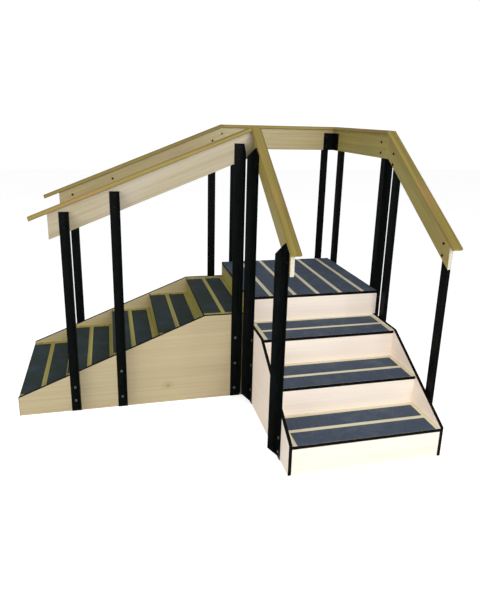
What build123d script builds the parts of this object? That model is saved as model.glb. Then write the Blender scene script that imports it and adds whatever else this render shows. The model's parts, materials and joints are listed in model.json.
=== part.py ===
from build123d import *
from collections import namedtuple
from math import ceil, hypot
import os

# Corner training stairs: a platform with a flight of low steps on one side and
# a flight of high steps at right angles to it, with handrails on angle posts.
# Millimetres. +Z is up and the floor is z = 0. The low flight climbs towards +X
# and the high flight towards +Y. The origin is the middle of the footprint.

# Steps and platform
platform_height = 609.6
clear_width = 762.0          # between the two side panels of a flight
board = 16.0                 # panels, risers and treads
edge_band = 2.0              # black band glued on board edges
curb = 6.0                   # how far a side panel stands above the nosings
low_steps = 5
low_going = 254.0
high_steps = 3
high_going = 266.7
batten = 22.0                # square battens inside the boxes
batten_gap = 1.0             # between battens that meet
joist_depth = 90.0
joist_count = 2

# Anti-slip strips
strip_thickness = 1.2
strip_gap = 25.0
strip_front_gap = 0.2
strip_rear_margin = 25.0
low_side_margin = 38.0
high_side_margin = 25.0
platform_strip_width = 117.0

# Angle posts
leg = 50.8
steel = 3.2
root_radius = 4.0
leg_clip = 45.0              # 45 degree clip on the standing leg
post_inset = 51.0            # from a unit's edge to the nearest post
inner_post_shift = 22.0      # keeps the two posts of the inner corner apart
low_middle_heel = 696.0      # distance of each post's heel from the platform
low_front_heel = 947.0
high_inner_heel = 625.0
high_outer_heel = 612.0
low_post_lap = 120.0         # post top above the rail board's lower edge, at
low_rear_lap = 106.0         # the post's side further from the platform
high_inner_lap = 127.0
high_outer_lap = 118.0
high_corner_lap = 111.0       # outer post nearest the platform
platform_post_lap = 110.0

# Handrails
rail_height = 930.0          # top of the cap above the platform
rail_board = 20.0
rail_depth = 134.0           # visible height of the rail board, plumb
cap_width = 52.0
cap_depth = 20.0
cap_top_radius = 13.0
cap_low_radius = 5.0
elbow = 20.0                 # level length before a rail starts to fall
high_rail_fall = 0.68        # fall per unit of run on the high flight
low_rail_reach = 1052.0
low_cap_overrun = 94.0
high_rail_reach = 691.0
high_cap_overrun = 52.0
bracket_leg = 76.0
bracket_height = 113.0

# Fasteners
bolt_radius = 4.0
bolt_clearance = 0.25
bolt_head_radius = 8.0
bolt_head_height = 4.5
thread_tail = 3.0            # bolt end beyond its nut
nut_flats = 13.0
nut_height = 6.5
nut_flange_radius = 9.0
nut_flange_height = 1.5
cap_nut_radius = 6.5
cap_nut_height = 4.0
cap_nut_depth = 2.5          # depth of its blind hole
socket_flats = 5.0           # hexagon socket in bolt and screw heads
socket_depth = 2.0
thread_clearance = 0.05
end_clearance = 0.5          # at the bottom of blind holes
rail_bolt_margin = 22.0      # from the post's top to the upper rail bolt
rail_bolt_pitch = 58.0
barrel_radius = 5.0          # cross nuts that draw the rails together
barrel_length = 16.0
barrel_inset = 14.0          # from the joint
barrel_clearance = 0.2
joint_screw_radius = 2.5
joint_screw_clearance = 0.2
joint_screw_tail = 4.0       # beyond the middle of its cross nut
joint_screw_heights = (38.0, 95.0)
joint_head_radius = 4.5
joint_head_height = 2.5
joint_socket_flats = 3.0
joint_socket_depth = 1.3
stud_grip = 40.0             # wood thread of the far rail's stud
join_margin = 150.0          # unit joining bolts, from the side panels
join_first = 120.0           # lower row's height
join_drop = 39.0             # upper row, below the high flight's last batten
head_round = 0.7             # share of a head's height that its rim rounds over

# Derived sizes
width = clear_width + 2 * board
low_rise = platform_height / (low_steps + 1)
high_rise = platform_height / (high_steps + 1)
low_run = low_steps * low_going
high_run = high_steps * high_going
deck_low = platform_height - board
rail_top = platform_height + rail_height
rail_low = rail_top - cap_depth - rail_depth
bolt_hole_radius = bolt_radius + bolt_clearance
join_heights = (join_first, high_steps * high_rise - board - batten - join_drop)
corner_x = (low_run - width - leg) / 2
corner_y = (high_run - width - leg) / 2


def at(x, y, z=0):
    """Point measured from the inner corner where the two flights meet."""
    return (corner_x + x, corner_y + y, z)


# The two flights in their own frames: local x runs out from the platform,
# local y across the treads, and the origin is on a side panel's outer face.
# rail_fall is how much the handrail falls per unit of run.
Flight = namedtuple("Flight", "name base steps rise going side_margin rail_fall")
low_flight = Flight(
    "low", Plane(at(0, width), x_dir=(-1, 0, 0), z_dir=(0, 0, 1)),
    low_steps, low_rise, low_going, low_side_margin, low_rise / low_going)
high_flight = Flight(
    "high", Plane(at(0, 0), x_dir=(0, -1, 0), z_dir=(0, 0, 1)),
    high_steps, high_rise, high_going, high_side_margin, high_rail_fall)

# Outer faces of the boxes: local x runs along the face, local y is up and the
# normal points outwards.
low_near = Plane(at(0, 0), x_dir=(1, 0, 0), z_dir=(0, -1, 0))
low_far = Plane(at(0, width), x_dir=(-1, 0, 0), z_dir=(0, 1, 0))
high_inner = Plane(at(0, 0), x_dir=(0, -1, 0), z_dir=(-1, 0, 0))
high_outer = Plane(at(width, 0), x_dir=(0, 1, 0), z_dir=(1, 0, 0))

# A post stands on a face. heel is where its standing leg is along the face and
# toward is the side of the heel that its flat leg lies on. flight is the flight
# it stands beside, or None, and reach is how far out its further side is from
# the platform. lap is how far it rises up the rail board. count bolts hold its
# foot, evenly from a first height to a drop below the batten over them.
Post = namedtuple("Post", "face heel toward flight reach lap first drop count")


def flight_post(flight, face, toward, heel, lap, first, drop, count):
    return Post(face, toward * heel, toward, flight, heel + leg, lap, first, drop, count)


inner_heel = post_inset + inner_post_shift
posts = {
    "low_front_posts": [
        flight_post(low_flight, low_near, -1, low_front_heel, low_post_lap, 64, 22, 2),
        flight_post(low_flight, low_far, 1, low_front_heel, low_post_lap, 64, 22, 2)],
    "low_middle_posts": [
        flight_post(low_flight, low_near, -1, low_middle_heel, low_post_lap, 62, 49, 2),
        flight_post(low_flight, low_far, 1, low_middle_heel, low_post_lap, 62, 49, 2)],
    "low_rear_posts": [
        flight_post(low_flight, low_near, -1, post_inset, low_rear_lap, 52, 100, 3),
        flight_post(low_flight, low_far, 1, post_inset, low_rear_lap, 52, 100, 3)],
    "high_rear_posts": [
        flight_post(high_flight, high_inner, 1, inner_heel, high_inner_lap, 80, 31, 3),
        flight_post(high_flight, high_outer, -1, post_inset, high_corner_lap, 80, 31, 3)],
    "high_front_posts": [
        flight_post(high_flight, high_inner, 1, high_inner_heel, high_inner_lap, 34, 4, 2),
        flight_post(high_flight, high_outer, -1, high_outer_heel, high_outer_lap, 34, 4, 2)],
    "platform_posts": [
        Post(low_far, -post_inset - leg, 1, None, 0, platform_post_lap, 80, 184, 3),
        Post(low_far, post_inset - width, 1, None, 0, platform_post_lap, 80, 184, 3),
        Post(high_outer, width - post_inset, -1, None, 0, platform_post_lap, 80, 184, 3),
        Post(high_outer, post_inset, 1, None, 0, platform_post_lap, 80, 184, 3)],
}


def post_middle(post):
    return post.heel + post.toward * leg / 2


def post_top(post):
    fall = post.flight.rail_fall if post.flight else 0
    return rail_low - fall * max(0, post.reach - elbow) + post.lap


def batten_over(post):
    """Height of the underside of the batten over a post's foot."""
    flight = post.flight
    if flight is None:
        return deck_low - batten
    step = flight.steps - ceil((post.reach - leg / 2) / flight.going)
    return (step + 1) * flight.rise - board - batten


def foot_holes(post):
    step = (batten_over(post) - post.drop - post.first) / (post.count - 1)
    return [(post_middle(post), post.first + i * step) for i in range(post.count)]


def rail_holes(post):
    upper = post_top(post) - rail_bolt_margin
    return [(post_middle(post), upper), (post_middle(post), upper - rail_bolt_pitch)]


def holes_on(face, holes):
    """All the holes of one kind on one face, of posts on the low or high side."""
    return [spot for group in posts.values() for post in group
            if post.face is face for spot in holes(post)]


join_spots = [(v, z) for v in (join_margin, width - join_margin) for z in join_heights]


def joint_face(flight):
    """Where a flight meets the platform, with its normal towards the flight."""
    return Plane(flight.base.origin, x_dir=flight.base.y_dir, z_dir=flight.base.x_dir)


def keep(piece, name):
    piece.part.label = name
    export_step(piece.part, f"parts/{name}.step")


def block(base, x_span, y_span, z_span):
    """Rectangular board in a frame, from its three spans."""
    with BuildSketch(base.offset(z_span[0])) as plan:
        with Locations((sum(x_span) / 2, sum(y_span) / 2)):
            Rectangle(x_span[1] - x_span[0], y_span[1] - y_span[0])
    extrude(plan.sketch, amount=z_span[1] - z_span[0])


def outline(face, points, depth, mode=Mode.ADD):
    """Board cut to an outline drawn on its outer face."""
    with BuildSketch(face) as shape:
        with BuildLine():
            Polyline(*points, close=True)
        make_face()
    extrude(shape.sketch, amount=-depth, mode=mode)


def drill(face, spots, depth, radius=bolt_hole_radius):
    """Round holes from a face, inwards, or outwards for a negative depth."""
    with BuildSketch(face) as circles:
        with Locations(*spots):
            Circle(radius)
    extrude(circles.sketch, amount=-depth, mode=Mode.SUBTRACT)


os.makedirs("parts", exist_ok=True)


# Side panels and the black bands on their front, sloping and top edges

def side_outline(flight, inset):
    """Side panel in (run out from the platform, height), drawn in by inset."""
    run = flight.steps * flight.going
    pitch = flight.rise / flight.going
    drop = inset * hypot(1, pitch)
    top = flight.steps * flight.rise + curb
    front_top = flight.rise + curb + pitch * inset - drop
    knee = flight.going + (inset - drop) / pitch
    return [(0, 0), (run - inset, 0), (run - inset, front_top), (knee, top - inset),
            (0, top - inset)]


side_faces = {
    "near": (low_flight, low_near, -1), "far": (low_flight, low_far, 1),
    "inner": (high_flight, high_inner, 1), "outer": (high_flight, high_outer, -1)}

for side, (flight, face, away) in side_faces.items():
    panel_points = [(away * run, z) for run, z in side_outline(flight, edge_band)]
    band_points = [(away * run, z) for run, z in side_outline(flight, 0)]
    spots = [spot for spot in holes_on(face, foot_holes) if away * spot[0] > 0]
    with BuildPart() as side_panel:
        outline(face, panel_points, board)
        drill(face, spots, board)
    keep(side_panel, f"{flight.name}_side_panel_{side}")
    with BuildPart() as side_band:
        outline(face, band_points, board)
        outline(face, panel_points, board, Mode.SUBTRACT)
    keep(side_band, f"{flight.name}_side_band_{side}")


# Steps: treads, nosing bands, risers, anti-slip strips, battens, back panel

def nosing(flight, step):
    """Distance of a step's nosing from the platform; step 0 is the lowest."""
    return (flight.steps - step) * flight.going


def tread_back(flight, step):
    last = step == flight.steps - 1
    return 0 if last else nosing(flight, step + 1) - edge_band - board


inside = (board, board + clear_width)
for flight in (low_flight, high_flight):
    steps = range(flight.steps)
    rise = flight.rise
    strip = (flight.going - edge_band - strip_front_gap - strip_gap - strip_rear_margin) / 2
    strip_span = (inside[0] + flight.side_margin, inside[1] - flight.side_margin)

    for step in steps:
        top = (step + 1) * rise
        front = nosing(flight, step) - edge_band
        with BuildPart() as tread:
            block(flight.base, (tread_back(flight, step), front), inside, (top - board, top))
        keep(tread, f"{flight.name}_tread_{step + 1}")

    with BuildPart() as nosings:
        for step in steps:
            edge = nosing(flight, step)
            top = (step + 1) * rise
            block(flight.base, (edge - edge_band, edge), inside, (top - board, top))
    keep(nosings, f"{flight.name}_nosing_bands")

    with BuildPart() as risers:
        for step in steps:
            front = nosing(flight, step) - edge_band
            block(flight.base, (front - board, front), inside,
                  (step * rise, (step + 1) * rise - board))
    keep(risers, f"{flight.name}_risers")

    with BuildPart() as strips:
        for step in steps:
            top = (step + 1) * rise
            for row in range(2):
                edge = nosing(flight, step) - edge_band - strip_front_gap
                edge = edge - row * (strip + strip_gap)
                block(flight.base, (edge - strip, edge), strip_span,
                      (top, top + strip_thickness))
    keep(strips, f"{flight.name}_grip_strips")

    with BuildPart() as battens:
        for step in steps:
            under = (step + 1) * rise - board
            behind = nosing(flight, step) - edge_band - board
            rear = tread_back(flight, step)
            if step == flight.steps - 1:
                rear = board
            for start in (behind - batten, rear):
                block(flight.base, (start, start + batten), inside, (under - batten, under))
    keep(battens, f"{flight.name}_battens")

    with BuildPart() as back_panel:
        block(flight.base, (0, board), inside, (0, flight.steps * rise - board))
        drill(joint_face(flight), join_spots, -board)
    keep(back_panel, f"{flight.name}_back_panel")


# Platform: four panels, top board with its band, strips, battens and joists

ground = Plane(at(0, 0))
far = (width - board, width)
between = (board + batten + batten_gap, width - board - batten - batten_gap)

with BuildPart() as front_panel:
    block(ground, (0, width), (0, board), (0, deck_low))
    drill(joint_face(high_flight), join_spots, board)
keep(front_panel, "platform_panel_front")

with BuildPart() as left_panel:
    block(ground, (0, board), inside, (0, deck_low))
    drill(joint_face(low_flight), join_spots, board)
keep(left_panel, "platform_panel_left")

with BuildPart() as rear_panel:
    block(ground, (0, width), far, (0, deck_low))
    drill(low_far, [spot for spot in holes_on(low_far, foot_holes) if spot[0] < 0], board)
keep(rear_panel, "platform_panel_rear")

with BuildPart() as right_panel:
    block(ground, far, inside, (0, deck_low))
    drill(high_outer, [spot for spot in holes_on(high_outer, foot_holes) if spot[0] > 0], board)
keep(right_panel, "platform_panel_right")

banded = (edge_band, width - edge_band)
with BuildPart() as deck:
    block(ground, banded, banded, (deck_low, platform_height))
keep(deck, "platform_deck")

with BuildPart() as deck_band:
    block(ground, (0, width), (0, width), (deck_low, platform_height))
    add(deck.part, mode=Mode.SUBTRACT)
keep(deck_band, "platform_edge_band")

with BuildPart() as deck_strips:
    start = edge_band + strip_front_gap
    while start < width - strip_gap:
        end = min(start + platform_strip_width, width - edge_band - strip_front_gap)
        block(ground, (start, end), (edge_band, width - edge_band),
              (platform_height, platform_height + strip_thickness))
        start = end + strip_gap
keep(deck_strips, "platform_grip_strips")

with BuildPart() as deck_battens:
    levels = (deck_low - batten, deck_low)
    for start in (board, width - board - batten):
        edge = (start, start + batten)
        block(ground, inside, edge, levels)
        block(ground, edge, between, levels)
        for other in (board, width - board - batten):
            block(ground, edge, (other, other + batten), (0, deck_low - batten - batten_gap))
keep(deck_battens, "platform_battens")

with BuildPart() as joists:
    for place in range(1, joist_count + 1):
        middle = width * place / (joist_count + 1)
        block(ground, (middle - board / 2, middle + board / 2), between,
              (deck_low - joist_depth, deck_low))
keep(joists, "platform_joists")


# Angle posts

def angle_post(post):
    """Angle iron with its flat leg on the face and its standing leg clipped."""
    face, heel, toward = post.face, post.heel, post.toward
    top = post_top(post)
    with BuildSketch(Plane(face.origin, x_dir=face.x_dir, z_dir=(0, 0, 1))) as section:
        with BuildLine():
            Polyline(
                (heel, 0), (heel + toward * leg, 0), (heel + toward * leg, -steel),
                (heel + toward * steel, -steel), (heel + toward * steel, -leg), (heel, -leg),
                close=True)
        make_face()
        root = section.vertices().sort_by_distance((heel + toward * steel, -steel))[0]
        fillet(root, root_radius)
    extrude(section.sketch, amount=top)
    heel_edge = face.from_local_coords(Vector(heel, 0, 0))
    with BuildSketch(Plane(heel_edge, x_dir=face.z_dir, z_dir=-face.x_dir)) as clips:
        with BuildLine():
            Polyline((leg, 0), (leg, leg_clip), (leg - leg_clip, 0), close=True)
        make_face()
        with BuildLine():
            Polyline((leg, top), (leg, top - leg_clip), (leg - leg_clip, top), close=True)
        make_face()
    extrude(clips.sketch, amount=2 * steel, both=True, mode=Mode.SUBTRACT)
    drill(face, foot_holes(post) + rail_holes(post), -steel)


for name, group in posts.items():
    with BuildPart() as post_set:
        for post in group:
            angle_post(post)
    keep(post_set, name)


# Handrails: a board on edge with a rounded cap on top of it

Rail = namedtuple("Rail", "name face away start reach overrun fall")


def flight_rail(name, face, away, start):
    if name.startswith("low"):
        return Rail(name, face, away, start, low_rail_reach, low_cap_overrun,
                    low_flight.rail_fall)
    return Rail(name, face, away, start, high_rail_reach, high_cap_overrun,
                high_flight.rail_fall)


rails = [
    flight_rail("low_near", low_near, -1, -cap_width),
    flight_rail("low_far", low_far, 1, 0),
    flight_rail("high_outer", high_outer, -1, 0),
    flight_rail("high_inner", high_inner, 1, -cap_width),
    Rail("platform_rear", low_far, -1, 0, width + cap_width, 0, 0),
    Rail("platform_right", high_outer, 1, 0, width + cap_width, 0, 0)]
miters = {
    "low_near": (at(0, 0), 1), "high_inner": (at(0, 0), -1),
    "platform_rear": (at(width, width), 1), "platform_right": (at(width, width), -1)}


def rail_line(rail, reach, drop=0):
    """The rail's top line in its face, or a line at a plumb distance below it."""
    level = rail_top - drop
    if rail.fall == 0:
        return [(rail.away * rail.start, level), (rail.away * reach, level)]
    low = level - rail.fall * (reach - elbow)
    return [(rail.away * rail.start, level), (rail.away * elbow, level), (rail.away * reach, low)]


def cut_miter(rail):
    """Cuts a rail's end on the 45 degree plane of its corner."""
    if rail.name in miters:
        corner, side = miters[rail.name]
        size = 2 * cap_width
        with BuildSketch(Plane(corner)) as waste:
            with BuildLine():
                Polyline((-size, -size), (side * size, -side * size), (size, size), close=True)
            make_face()
        extrude(waste.sketch, amount=2 * rail_top, mode=Mode.SUBTRACT)


caps = {}
for rail in rails:
    centre = rail.face.offset(-rail_board / 2)
    with BuildPart() as cap:
        with BuildLine(centre) as path:
            Polyline(*rail_line(rail, rail.reach + rail.overrun))
        along = path.line % 0
        section_plane = Plane(path.line @ 0, x_dir=Vector(0, 0, 1).cross(along), z_dir=along)
        with BuildSketch(section_plane) as profile:
            with Locations((0, -cap_depth / 2)):
                Rectangle(cap_width, cap_depth)
            fillet(profile.vertices().group_by(Axis.Y)[-1], cap_top_radius)
            fillet(profile.vertices().group_by(Axis.Y)[0], cap_low_radius)
        sweep(profile.sketch, path=path.line, transition=Transition.RIGHT)
        cut_miter(rail)
    keep(cap, f"rail_cap_{rail.name}")
    caps[rail.name] = cap

# At the inner corner two screws go through the low rail into cross nuts in the
# high rail. The far low rail meets the platform's rear rail end to end, on a
# stud with a wood thread in the rear rail and a cross nut in the low one.
barrel_spots = [(barrel_inset, rail_low + z) for z in joint_screw_heights]
screw_spots = [(rail_board / 2, rail_low + z) for z in joint_screw_heights]
screw_face = low_near.offset(-rail_board)
screw_reach = rail_board + barrel_inset + joint_screw_tail
screw_hole_radius = joint_screw_radius + joint_screw_clearance
thread_hole_radius = joint_screw_radius + thread_clearance
barrel_hole_radius = barrel_radius + barrel_clearance
far_inner = low_far.offset(-rail_board)
far_joint = Plane(at(0, width - rail_board / 2), x_dir=(0, 1, 0), z_dir=(1, 0, 0))
stud_spots = [(0, rail_low + joint_screw_heights[-1])]
stud_reach = barrel_inset + joint_screw_tail

for rail in rails:
    lower_line = rail_line(rail, rail.reach, cap_depth + rail_depth)
    spots = [spot for spot in holes_on(rail.face, rail_holes) if rail.away * spot[0] > 0]
    with BuildPart() as rail_side:
        outline(rail.face, rail_line(rail, rail.reach) + lower_line[::-1], rail_board)
        add(caps[rail.name].part, mode=Mode.SUBTRACT)
        cut_miter(rail)
        drill(rail.face, spots, rail_board)
        if rail.name in ("low_near", "high_inner"):
            drill(screw_face, screw_spots, -screw_reach - end_clearance, screw_hole_radius)
        if rail.name == "high_inner":
            drill(high_inner, barrel_spots, barrel_length, barrel_hole_radius)
        if rail.name == "low_far":
            drill(far_joint, stud_spots, stud_reach + end_clearance, screw_hole_radius)
            drill(far_inner, barrel_spots[-1:], -barrel_length, barrel_hole_radius)
        if rail.name == "platform_rear":
            drill(far_joint, stud_spots, -stud_grip - end_clearance, thread_hole_radius)
    keep(rail_side, f"rail_board_{rail.name}")


# Steel angle inside the outer corner of the rails

corner_posts = posts["platform_posts"][1:3]
corner = Plane(at(width - rail_board, width - rail_board, rail_low))
with BuildPart() as bracket:
    with BuildSketch(corner) as section:
        with BuildLine():
            Polyline((0, 0), (-bracket_leg, 0), (-bracket_leg, -steel), (-steel, -steel),
                     (-steel, -bracket_leg), (0, -bracket_leg), close=True)
        make_face()
    extrude(section.sketch, amount=bracket_height)
    for post in corner_posts:
        drill(post.face.offset(-rail_board), rail_holes(post), steel)
keep(bracket, "rail_corner_bracket")


# Bolts, nuts and screws, drawn once along Z and then placed

def headed(reach, radius, head_radius, head_height, flats, depth):
    """Button-head screw: head seated on z = 0 and above, shank down to -reach."""
    with BuildPart() as screw:
        with BuildSketch():
            Circle(head_radius)
        extrude(amount=head_height)
        fillet(screw.edges().group_by(Axis.Z)[-1], head_height * head_round)
        with BuildSketch(Plane.XY.offset(head_height)):
            RegularPolygon(flats / 2, 6, major_radius=False)
        extrude(amount=-depth, mode=Mode.SUBTRACT)
        with BuildSketch():
            Circle(radius)
        extrude(amount=-reach)
    return screw.part


def bolt(reach):
    return headed(reach, bolt_radius, bolt_head_radius, bolt_head_height, socket_flats,
                  socket_depth)


def place(piece, face, spots, height):
    """Copies of a piece on a face, with its z = 0 at a height above that face."""
    with Locations(face.offset(height)):
        with Locations(*spots):
            add(piece)


nut_stack = nut_flange_height + nut_height + thread_tail
cap_nut_grip = cap_nut_depth - end_clearance

with BuildPart() as flange_nut:
    with BuildSketch():
        Circle(nut_flange_radius)
    extrude(amount=-nut_flange_height)
    with BuildSketch(Plane.XY.offset(-nut_flange_height)):
        RegularPolygon(nut_flats / 2, 6, major_radius=False)
    extrude(amount=-nut_height)
    with BuildSketch():
        Circle(bolt_radius + thread_clearance)
    extrude(amount=-nut_flange_height - nut_height, mode=Mode.SUBTRACT)

with BuildPart() as cap_nut:
    with BuildSketch():
        Circle(cap_nut_radius)
    extrude(amount=-cap_nut_height)
    fillet(cap_nut.edges().group_by(Axis.Z)[0], cap_nut_height - cap_nut_depth)
    with BuildSketch():
        Circle(bolt_radius + thread_clearance)
    extrude(amount=-cap_nut_depth, mode=Mode.SUBTRACT)

foot_bolt = bolt(steel + board + nut_stack)
join_bolt = bolt(2 * board + nut_stack)
rail_bolt = bolt(steel + rail_board + cap_nut_grip)
bracket_bolt = bolt(2 * steel + rail_board + cap_nut_grip)

with BuildPart() as box_bolts:
    for group in posts.values():
        for post in group:
            place(foot_bolt, post.face, foot_holes(post), steel)
    for flight in (low_flight, high_flight):
        place(join_bolt, joint_face(flight), join_spots, board)
keep(box_bolts, "box_bolts")

with BuildPart() as box_nuts:
    for group in posts.values():
        for post in group:
            place(flange_nut.part, post.face, foot_holes(post), -board)
    for flight in (low_flight, high_flight):
        place(flange_nut.part, joint_face(flight), join_spots, -board)
keep(box_nuts, "box_nuts")

with BuildPart() as rail_bolts:
    for group in posts.values():
        for post in group:
            long_bolt = bracket_bolt if post in corner_posts else rail_bolt
            place(long_bolt, post.face, rail_holes(post), steel)
keep(rail_bolts, "rail_bolts")

with BuildPart() as rail_cap_nuts:
    for group in posts.values():
        for post in group:
            stack = rail_board + steel if post in corner_posts else rail_board
            place(cap_nut.part, post.face, rail_holes(post), -stack)
keep(rail_cap_nuts, "rail_cap_nuts")


# Screws, stud and cross nuts that draw the rails together

joint_screw = headed(screw_reach, joint_screw_radius, joint_head_radius,
                     joint_head_height, joint_socket_flats, joint_socket_depth)
screw_seat = Plane(screw_face.origin, x_dir=screw_face.x_dir, z_dir=-screw_face.z_dir)
with BuildPart() as joint_screws:
    place(joint_screw, screw_seat, [(x, -z) for x, z in screw_spots], 0)
    with BuildSketch(far_joint.offset(-stud_reach)) as stud:
        with Locations(*stud_spots):
            Circle(joint_screw_radius)
    extrude(stud.sketch, amount=stud_reach + stud_grip)
keep(joint_screws, "rail_joint_screws")

with BuildPart() as cross_nuts:
    with BuildSketch(high_inner) as barrels:
        with Locations(*barrel_spots):
            Circle(barrel_radius)
    extrude(barrels.sketch, amount=-barrel_length)
    with BuildSketch(far_inner) as far_barrel:
        with Locations(*barrel_spots[-1:]):
            Circle(barrel_radius)
    extrude(far_barrel.sketch, amount=barrel_length)
    drill(screw_face, screw_spots, -screw_reach - end_clearance, thread_hole_radius)
    drill(far_joint, stud_spots, stud_reach + end_clearance, thread_hole_radius)
keep(cross_nuts, "rail_cross_nuts")
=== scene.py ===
"""Corner training stairs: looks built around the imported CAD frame."""
import json
import math

import bmesh
import bpy
from mathutils import Matrix, Vector


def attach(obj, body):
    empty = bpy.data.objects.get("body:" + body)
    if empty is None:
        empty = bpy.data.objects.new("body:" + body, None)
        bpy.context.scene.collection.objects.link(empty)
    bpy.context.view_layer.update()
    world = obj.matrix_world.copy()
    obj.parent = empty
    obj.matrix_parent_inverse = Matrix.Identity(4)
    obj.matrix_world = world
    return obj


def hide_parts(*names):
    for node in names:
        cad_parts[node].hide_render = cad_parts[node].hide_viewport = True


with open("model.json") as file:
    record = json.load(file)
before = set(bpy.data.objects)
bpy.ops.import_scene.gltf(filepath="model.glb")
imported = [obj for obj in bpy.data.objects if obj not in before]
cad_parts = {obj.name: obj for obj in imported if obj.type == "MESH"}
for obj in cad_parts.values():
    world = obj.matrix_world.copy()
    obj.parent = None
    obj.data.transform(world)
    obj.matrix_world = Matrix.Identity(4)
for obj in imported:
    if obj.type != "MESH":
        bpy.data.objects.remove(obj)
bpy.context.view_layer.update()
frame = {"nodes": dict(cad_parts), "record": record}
nodes = frame["nodes"]
scene = bpy.context.scene

X, Y, Z = Vector((1, 0, 0)), Vector((0, 1, 0)), Vector((0, 0, 1))


# ---------------------------------------------------------------- camera

camera_place = (-0.5329, -2.8890, 1.5984)
camera_azimuth, camera_elevation, camera_roll = 14.29, 16.37, 1.52    # degrees
camera_lens = 32.96
camera_shift = (-0.0119, -0.038)


def make_camera():
    """Camera at the photograph's viewing angle, a little left of the inner corner."""
    azimuth, elevation = math.radians(camera_azimuth), math.radians(camera_elevation)
    roll = math.radians(camera_roll)
    forward = Vector((math.sin(azimuth) * math.cos(elevation),
                      math.cos(azimuth) * math.cos(elevation), -math.sin(elevation)))
    right = Vector((math.cos(azimuth), -math.sin(azimuth), 0))
    up = right.cross(forward)
    tilted_right = right * math.cos(roll) + up * math.sin(roll)
    tilted_up = up * math.cos(roll) - right * math.sin(roll)
    data = bpy.data.cameras.new("camera")
    data.lens = camera_lens
    data.sensor_width = 36
    data.shift_x, data.shift_y = camera_shift
    camera = bpy.data.objects.new("camera", data)
    scene.collection.objects.link(camera)
    turn = Matrix((tilted_right, tilted_up, -forward)).transposed()
    camera.matrix_world = Matrix.Translation(camera_place) @ turn.to_4x4()
    scene.camera = camera


make_camera()


# ---------------------------------------------------------------- shader helpers

class Nodes:
    """A material's node tree with short calls for making and joining nodes."""

    def __init__(self, name):
        self.material = bpy.data.materials.new(name)
        self.material.use_nodes = True
        self.tree = self.material.node_tree
        self.tree.nodes.clear()
        self.shader = self.tree.nodes.new("ShaderNodeBsdfPrincipled")
        output = self.tree.nodes.new("ShaderNodeOutputMaterial")
        self.tree.links.new(self.shader.outputs[0], output.inputs[0])

    def node(self, kind, **settings):
        made = self.tree.nodes.new(kind)
        for key, value in settings.items():
            setattr(made, key, value)
        return made

    def put(self, socket, value):
        if isinstance(value, bpy.types.NodeSocket):
            self.tree.links.new(value, socket)
        else:
            socket.default_value = value

    def set(self, **values):
        for key, value in values.items():
            self.put(self.shader.inputs[key.replace("_", " ")], value)

    def grain_coords(self, scale):
        """The piece's own coordinates in metres: x along the grain."""
        source = self.node("ShaderNodeAttribute", attribute_name="grain")
        mapping = self.node("ShaderNodeMapping")
        self.put(mapping.inputs["Vector"], source.outputs["Vector"])
        self.put(mapping.inputs["Scale"], scale)
        return mapping.outputs[0]

    def place_coords(self, scale=(1, 1, 1)):
        source = self.node("ShaderNodeTexCoord")
        mapping = self.node("ShaderNodeMapping")
        self.put(mapping.inputs["Vector"], source.outputs["Object"])
        self.put(mapping.inputs["Scale"], scale)
        return mapping.outputs[0]

    def noise(self, vector, scale, detail=4.0, rough=0.5, distortion=0.0):
        made = self.node("ShaderNodeTexNoise")
        self.put(made.inputs["Vector"], vector)
        self.put(made.inputs["Scale"], scale)
        self.put(made.inputs["Detail"], detail)
        self.put(made.inputs["Roughness"], rough)
        self.put(made.inputs["Distortion"], distortion)
        return made.outputs["Fac"]

    def ramp(self, factor, low, high, out_low=0.0, out_high=1.0):
        made = self.node("ShaderNodeMapRange")
        self.put(made.inputs["Value"], factor)
        for key, value in (("From Min", low), ("From Max", high), ("To Min", out_low),
                           ("To Max", out_high)):
            self.put(made.inputs[key], value)
        return made.outputs[0]

    def math(self, operation, a, b=0.0):
        made = self.node("ShaderNodeMath", operation=operation)
        self.put(made.inputs[0], a)
        self.put(made.inputs[1], b)
        return made.outputs[0]

    def mix(self, factor, a, b, blend="MIX"):
        made = self.node("ShaderNodeMix", data_type="RGBA", blend_type=blend)
        self.put(made.inputs[0], factor)
        self.put(made.inputs[6], a)
        self.put(made.inputs[7], b)
        return made.outputs[2]

    def bump(self, height, strength, distance):
        made = self.node("ShaderNodeBump")
        self.put(made.inputs["Strength"], strength)
        self.put(made.inputs["Distance"], distance)
        self.put(made.inputs["Height"], height)
        return made.outputs[0]


def srgb(red, green, blue):
    """Linear colour from 0 to 255 screen values."""
    def linear(value):
        value /= 255
        return value / 12.92 if value <= 0.04045 else ((value + 0.055) / 1.055) ** 2.4
    return (linear(red), linear(green), linear(blue), 1.0)


panel_knot = (-0.2525, -0.0223, 0.105)
knot_squeeze = 0.55          # a knot's width over its length along the grain
knot_ragged = 0.008
knot_depth = 0.75
knot_colour = srgb(120, 98, 66)


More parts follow.
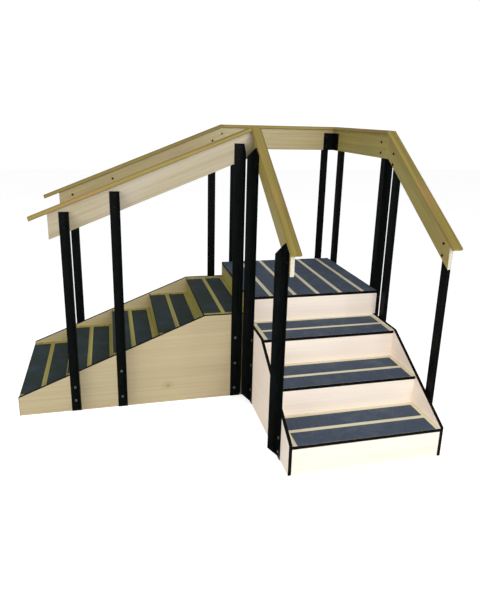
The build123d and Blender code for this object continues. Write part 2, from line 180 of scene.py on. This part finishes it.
def wood(name, base, dark, light, tint, roughness=0.42, streak=0.5, coat=0.25, lit_end_colour=None,
         knot=None):
    """Faced board: fine pores and streaks along the grain, slow cathedrals, soft blotches.

    lit_end_colour is painted light for the sawn end faces, the near white they show where
    they face the light, and knot the middle of a small knot, if there are any."""
    m = Nodes(name)
    fine = m.noise(m.grain_coords((6, 260, 260)), 1.0, detail=5.0, rough=0.62)
    streaks = m.noise(m.grain_coords((1.1, 38, 38)), 1.0, detail=5.0, rough=0.55,
                      distortion=0.35)
    rings = m.node("ShaderNodeTexWave", wave_type="RINGS", rings_direction="X",
                   wave_profile="SIN")
    m.put(rings.inputs["Vector"], m.grain_coords((0.55, 9, 9)))
    for key, value in (("Scale", 1.6), ("Distortion", 5.5), ("Detail", 2.5),
                       ("Detail Scale", 0.8)):
        m.put(rings.inputs[key], value)
    blotch = m.noise(m.grain_coords((2.2, 5, 5)), 1.0, detail=3.0, rough=0.5)
    colour = m.mix(m.ramp(streaks, 0.36, 0.66, 0, streak), base, dark)
    colour = m.mix(m.ramp(rings.outputs["Fac"], 0.55, 1.0, 0, 0.45 * streak), colour, dark)
    colour = m.mix(m.ramp(blotch, 0.48, 0.72, 0, 0.55), colour, tint)
    colour = m.mix(m.ramp(fine, 0.58, 0.8, 0, 0.35), colour, dark)
    colour = m.mix(m.ramp(fine, 0.42, 0.2, 0, 0.4), colour, light)
    if knot:
        gap = m.node("ShaderNodeVectorMath", operation="DISTANCE")
        m.put(gap.inputs[0], m.place_coords((knot_squeeze, 1, 1)))
        m.put(gap.inputs[1], (knot_squeeze * knot[0], knot[1], knot[2]))
        ragged = m.ramp(streaks, 0.3, 0.7, -knot_ragged, knot_ragged)
        reach = m.math("ADD", gap.outputs["Value"], ragged)
        colour = m.mix(m.ramp(reach, 0.026, 0.004, 0, knot_depth), colour, dark)
        colour = m.mix(m.ramp(reach, 0.009, 0.002, 0, knot_depth), colour, knot_colour)
    # Painted light: sawn end faces get a pale lit colour, mottled with the dark grain
    # colour.
    if lit_end_colour:
        sawn = m.node("ShaderNodeAttribute", attribute_name="sawn_end")
        colour = m.mix(sawn.outputs["Fac"], colour, m.mix(fine, lit_end_colour, dark))
    rough = m.ramp(fine, 0.3, 0.7, roughness - 0.06, roughness + 0.08)
    m.set(Base_Color=colour, Roughness=rough, Coat_Weight=coat, Coat_Roughness=0.28,
          Normal=m.bump(fine, 0.12, 0.0004))
    return m.material


def grip_sheet(name, base, grit, worn):
    """Anti-slip sheet: packed mineral grit with scuffed, paler patches."""
    m = Nodes(name)
    cells = m.node("ShaderNodeTexVoronoi", feature="F1")
    m.put(cells.inputs["Vector"], m.place_coords())
    m.put(cells.inputs["Scale"], 620.0)
    m.put(cells.inputs["Randomness"], 1.0)
    grains = m.ramp(cells.outputs["Distance"], 0.0, 0.55, 1.0, 0.0)
    coarse = m.noise(m.place_coords(), 210.0, detail=3.0, rough=0.7)
    scuffs = m.noise(m.place_coords(), 9.0, detail=6.0, rough=0.62, distortion=0.8)
    colour = m.mix(m.ramp(coarse, 0.5, 0.75, 0, 0.75), base, grit)
    colour = m.mix(m.ramp(scuffs, 0.48, 0.78, 0, 0.6), colour, worn)
    sparkle = m.node("ShaderNodeTexWhiteNoise", noise_dimensions="3D")
    m.put(sparkle.inputs["Vector"], cells.outputs["Position"])
    colour = m.mix(m.ramp(sparkle.outputs["Value"], 0.93, 0.97, 0, 0.8), colour, worn)
    height = m.math("ADD", grains, m.math("MULTIPLY", coarse, 0.6))
    rough = m.ramp(sparkle.outputs["Value"], 0.0, 1.0, 0.92, 0.62)
    m.set(Base_Color=colour, Roughness=rough, Specular_IOR_Level=0.2,
          Normal=m.bump(height, 0.55, 0.0007))
    return m.material


def powder_coat(name, base, sheen):
    """Satin black powder coat with orange peel; soft blotches, from handling, vary its
    roughness and carry a painted blue-green sheen.
    """
    m = Nodes(name)
    peel = m.noise(m.place_coords(), 420.0, detail=2.0, rough=0.5)
    marks_and_sheen = m.noise(m.place_coords((4, 4, 1.2)), 9.0, detail=6.0, rough=0.65,
                    distortion=0.6)
    # Painted sheen: the blotches tint the black towards a blue-green highlight colour.
    colour = m.mix(m.ramp(marks_and_sheen, 0.42, 0.72, 0, 1.0), base, sheen)
    rough = m.ramp(marks_and_sheen, 0.3, 0.7, 0.34, 0.52)
    m.set(Base_Color=colour, Roughness=rough, Specular_IOR_Level=0.04,
          Normal=m.bump(peel, 0.12, 0.0004))
    return m.material


def edge_plastic(name, base, scuff):
    """Black edge banding: smooth moulded strip with small scuffs."""
    m = Nodes(name)
    scuffs = m.noise(m.place_coords(), 38.0, detail=7.0, rough=0.7, distortion=0.5)
    brush = m.noise(m.place_coords(), 300.0, detail=2.0, rough=0.5)
    colour = m.mix(m.ramp(scuffs, 0.5, 0.78, 0, 0.8), base, scuff)
    m.set(Base_Color=colour, Roughness=m.ramp(scuffs, 0.35, 0.7, 0.42, 0.6),
          Specular_IOR_Level=0.06, Normal=m.bump(brush, 0.08, 0.0003))
    return m.material


def plated(name, base, dull, rough_low, rough_high):
    """Plated or blackened steel with a mottled, dulled finish."""
    m = Nodes(name)
    mottle = m.noise(m.place_coords(), 260.0, detail=5.0, rough=0.6)
    turned = m.noise(m.place_coords(), 1400.0, detail=2.0, rough=0.5)
    colour = m.mix(m.ramp(mottle, 0.38, 0.68), base, dull)
    m.set(Base_Color=colour, Metallic=0.85,
          Roughness=m.ramp(mottle, 0.3, 0.7, rough_low, rough_high),
          Normal=m.bump(turned, 0.1, 0.0002))
    return m.material


materials = {
    # Painted light and shade: birch_panel and pale_panel stand for one birch ply.
    # birch_panel is a darker tan with painted shade for the low flight. pale_panel is near
    # white with painted light for the high flight and platform, which get more light.
    "birch_panel": wood("birch_panel", srgb(186, 171, 132), srgb(168, 150, 108),
                        srgb(198, 186, 150), srgb(190, 172, 128), 0.5, 0.45, 0.1),
    "pale_panel": wood("pale_panel", srgb(250, 238, 224), srgb(242, 222, 204),
                       srgb(253, 246, 236), srgb(250, 230, 216), 0.5, 0.45, 0.1),
    # tread_wood: olive tone, partly the varnished plywood's own colour and partly painted
    # shade for the low flight's treads and risers, which lie in shadow.
    "tread_wood": wood("tread_wood", srgb(184, 174, 88), srgb(116, 112, 48),
                       srgb(202, 192, 116), srgb(156, 140, 66), 0.55, 0.7, 0.1),
    "rail_wood": wood("rail_wood", srgb(174, 159, 112), srgb(142, 122, 72),
                      srgb(194, 184, 148), srgb(182, 156, 120), 0.42, 0.55, 0.2),
    # Painted shade: rail_wood_shade is a darker, more olive copy of rail_wood for the rail
    # boards whose faces turn away from the light. Its sawn end faces, turned to the light,
    # get near-white painted light.
    "rail_wood_shade": wood("rail_wood_shade", srgb(166, 152, 84), srgb(128, 114, 50),
                            srgb(184, 174, 112), srgb(172, 144, 90), 0.42, 0.6, 0.2,
                            lit_end_colour=srgb(255, 250, 240)),
    "cap_wood": wood("cap_wood", srgb(150, 136, 62), srgb(112, 90, 36),
                     srgb(172, 160, 96), srgb(162, 122, 76), 0.6, 0.75, 0.0),
    "softwood": wood("softwood", srgb(214, 188, 142), srgb(182, 148, 98),
                     srgb(228, 206, 166), srgb(206, 172, 124), 0.62, 0.8, 0.0),
    "grip": grip_sheet("grip", srgb(66, 78, 96), srgb(88, 102, 120), srgb(104, 112, 118)),
    # Painted shade: grip_low is a darker, greener copy of grip for the low flight's strips,
    # which lie in shadow.
    "grip_low": grip_sheet("grip_low", srgb(40, 52, 48), srgb(60, 74, 74),
                           srgb(66, 76, 96)),
    "black_edge": edge_plastic("black_edge", srgb(9, 9, 10), srgb(24, 23, 22)),
    "black_steel": powder_coat("black_steel", srgb(6, 8, 7), srgb(13, 18, 18)),
    "zinc_steel": plated("zinc_steel", srgb(120, 118, 112), srgb(70, 68, 64), 0.35, 0.55),
    "dark_steel": plated("dark_steel", srgb(34, 30, 27), srgb(20, 18, 17), 0.45, 0.65),
}

# Nodes that look a little different from the rest of their slot: blackened bolts, a knotted
# panel, and copies with painted light and shade
looks = {
    "rail_bolts": plated("blackened_bolt", srgb(22, 22, 22), srgb(14, 14, 14), 0.5, 0.7),
    # Paler, greyer copy of rail_wood for the near low board: partly the board's own paler
    # tone, partly painted light on an outer face turned to the light.
    "rail_board_low_near": wood("rail_wood_painted_lit", srgb(172, 161, 132), srgb(146, 130, 94),
                                srgb(196, 189, 170), srgb(182, 172, 158), 0.42, 0.5, 0.2),
    # Copy of birch_panel with its painted shade, plus a real knot.
    "low_side_panel_near": wood("birch_panel_knot", srgb(184, 170, 135), srgb(164, 146, 106),
                                srgb(196, 185, 154), srgb(189, 171, 133), 0.5, 0.45, 0.1,
                                knot=panel_knot),
}
# Painted light: the high flight's treads and the platform deck get a pale cream copy of
# tread_wood, painted lighter for the stronger light on them.
for number in (1, 2, 3):
    looks[f"high_tread_{number}"] = wood(
        f"painted_light_tread_{number}", srgb(232, 224, 194), srgb(204, 192, 150),
        srgb(242, 236, 212), srgb(226, 212, 176), 0.5, 0.4, 0.1)
looks["platform_deck"] = looks["high_tread_1"]


# ---------------------------------------------------------------- finished boards

def clean_copy(node):
    """A CAD node's mesh as a bmesh with its seams welded and flat faces merged."""
    mesh = bmesh.new()
    mesh.from_mesh(nodes[node].data)
    bmesh.ops.remove_doubles(mesh, verts=mesh.verts, dist=2e-6)
    bmesh.ops.dissolve_limit(mesh, angle_limit=math.radians(0.3), verts=mesh.verts,
                             edges=mesh.edges)
    return mesh


def write_grain(data, along, face, seed):
    """Stores each point's place along the grain, across it and through the board."""
    across = face.cross(along).normalized()
    shift = seed * grain_shift
    grain = data.attributes.new("grain", "FLOAT_VECTOR", "POINT")
    for vertex in data.vertices:
        place = vertex.co
        grain.data[vertex.index].vector = shift + Vector(
            (place.dot(along), place.dot(across), place.dot(face)))


def finished(node, along, face, bevel, seed):
    """Stands for a CAD board: same shape with eased long edges and its own grain.

    along is the grain's direction and face the board's broad side."""
    mesh = clean_copy(node)
    eased = [edge for edge in mesh.edges
             if len(edge.link_faces) == 2 and edge.calc_length() > shortest_eased
             and edge.calc_face_angle() > math.radians(25)]
    bmesh.ops.bevel(mesh, geom=eased, offset=bevel, segments=2, profile=0.5,
                    affect="EDGES", clamp_overlap=True)
    bmesh.ops.triangulate(mesh, faces=[f for f in mesh.faces if len(f.verts) > 4])
    data = bpy.data.meshes.new(node + "_board")
    mesh.to_mesh(data)
    mesh.free()
    along, face = along.normalized(), face.normalized()
    write_grain(data, along, face, seed)
    sawn = data.attributes.new("sawn_end", "FLOAT", "FACE")
    for polygon in data.polygons:
        sawn.data[polygon.index].value = float(abs(polygon.normal.dot(along)) > end_facing)
    data.shade_smooth()
    piece = bpy.data.objects.new(node + "_board", data)
    scene.collection.objects.link(piece)
    data.set_sharp_from_angle(angle=math.radians(50))
    weighted = piece.modifiers.new("weighted", "WEIGHTED_NORMAL")
    weighted.keep_sharp = True
    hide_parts(node)
    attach(piece, "root")
    data.materials.append(looks.get(node, materials[slots[node]]))


slots = {part["node"]: part["material_slot"] for part in frame["record"]["subparts"]}
low_pitch = Vector((1, 0, 0.4))
high_pitch = Vector((0, 1, 0.68))
grain_shift = Vector((0.731, 1.37, 0.517))    # keeps boards from sharing a figure
shortest_eased = 0.02
end_facing = 0.7             # how squarely a face turns along the grain to be sawn
rail_ease, batten_ease, panel_ease, thin_ease = 0.0015, 0.001, 0.0006, 0.0004

# Part of a board's name, its grain's direction, its broad side and its eased edge
boards = (
    ("rail_board_low", low_pitch, Y, rail_ease),
    ("rail_board_high", high_pitch, X, rail_ease),
    ("rail_board_platform_rear", X, Y, rail_ease),
    ("rail_board_platform_right", Y, X, rail_ease),
    ("low_side_panel", X, Y, panel_ease),
    ("high_side_panel", Y, X, panel_ease),
    ("low_tread", Y, Z, panel_ease),
    ("high_tread", X, Z, panel_ease),
    ("platform_deck", Y, Z, panel_ease),
    ("low_risers", Y, X, panel_ease),
    ("high_risers", X, Y, panel_ease),
    ("platform_panel_front", X, Y, panel_ease),
    ("platform_panel_rear", X, Y, panel_ease),
    ("high_back_panel", X, Y, panel_ease),
    ("platform_panel_left", Y, X, panel_ease),
    ("platform_panel_right", Y, X, panel_ease),
    ("low_back_panel", Y, X, panel_ease),
    ("battens", X, Z, batten_ease),
    ("joists", X, Z, batten_ease),
    ("grip_strips", X, Z, thin_ease),
    ("band", X, Z, thin_ease))

for seed, node in enumerate(sorted(nodes), start=1):
    for pattern, along, face, ease in boards:
        if pattern in node:
            finished(node, along, face, ease, seed)

# Handrail caps keep the CAD sweep's shape and get the grain of their run
cap_runs = (
    ("low_near", low_pitch, Y), ("low_far", low_pitch, Y),
    ("platform_rear", X, Y), ("platform_right", Y, X),
    ("high_outer", high_pitch, X), ("high_inner", high_pitch, X))
for seed, (name, along, face) in enumerate(cap_runs, start=20):
    write_grain(nodes["rail_cap_" + name].data, along.normalized(), face, seed)

for node, piece in nodes.items():
    look = looks.get(node, materials[slots[node]])
    if not piece.material_slots:
        piece.data.materials.append(look)
    for held in piece.material_slots:
        held.material = look


# ---------------------------------------------------------------- studio

floor_half = 14
floor_glow = 0.62            # seen by the camera alone, so it lights nothing
room_light = 0.42
backdrop_light = 1.05        # seen by the camera alone


def studio():
    """White floor and backdrop, dim room light and three softboxes."""
    floor_data = bpy.data.meshes.new("floor")
    floor_data.from_pydata(
        [(-floor_half, -floor_half, 0), (floor_half, -floor_half, 0),
         (floor_half, floor_half, 0), (-floor_half, floor_half, 0)], [], [(0, 1, 2, 3)])
    floor = bpy.data.objects.new("floor", floor_data)
    scene.collection.objects.link(floor)
    m = Nodes("studio_floor")
    soft = m.noise(m.place_coords(), 0.6, detail=2.0, rough=0.5)
    path = m.node("ShaderNodeLightPath")
    m.set(Base_Color=m.mix(soft, srgb(240, 240, 240), srgb(232, 232, 234)), Roughness=0.95,
          Specular_IOR_Level=0.1, Emission_Color=(1, 1, 1, 1),
          Emission_Strength=m.math("MULTIPLY", path.outputs["Is Camera Ray"], floor_glow))
    floor_data.materials.append(m.material)

    world = bpy.data.worlds.new("studio")
    world.use_nodes = True
    tree = world.node_tree
    room = tree.nodes["Background"]
    room.inputs["Color"].default_value = (1, 1, 1, 1)
    room.inputs["Strength"].default_value = room_light
    backdrop = tree.nodes.new("ShaderNodeBackground")
    backdrop.inputs["Color"].default_value = (1, 1, 1, 1)
    backdrop.inputs["Strength"].default_value = backdrop_light
    path = tree.nodes.new("ShaderNodeLightPath")
    blend = tree.nodes.new("ShaderNodeMixShader")
    tree.links.new(path.outputs["Is Camera Ray"], blend.inputs[0])
    tree.links.new(room.outputs[0], blend.inputs[1])
    tree.links.new(backdrop.outputs[0], blend.inputs[2])
    tree.links.new(blend.outputs[0], tree.nodes["World Output"].inputs["Surface"])
    scene.world = world

    def softbox(name, place, target, size, power):
        data = bpy.data.lights.new(name, "AREA")
        data.shape = "RECTANGLE"
        data.size, data.size_y = size
        data.energy = power
        light = bpy.data.objects.new(name, data)
        light.location = place
        way = Vector(target) - Vector(place)
        light.rotation_euler = way.to_track_quat("-Z", "Y").to_euler()
        scene.collection.objects.link(light)

    softbox("key", (0.9, -5.0, 2.3), (0, 0, 0.7), (3.0, 2.4), 158)
    softbox("fill", (-4.0, -2.2, 2.2), (0, 0, 0.6), (3.0, 2.4), 90)
    softbox("top", (0.0, 0.4, 4.6), (0, 0, 0), (3.4, 3.4), 12)


studio()
scene.view_settings.view_transform = "Standard"
scene.view_settings.look = "None"
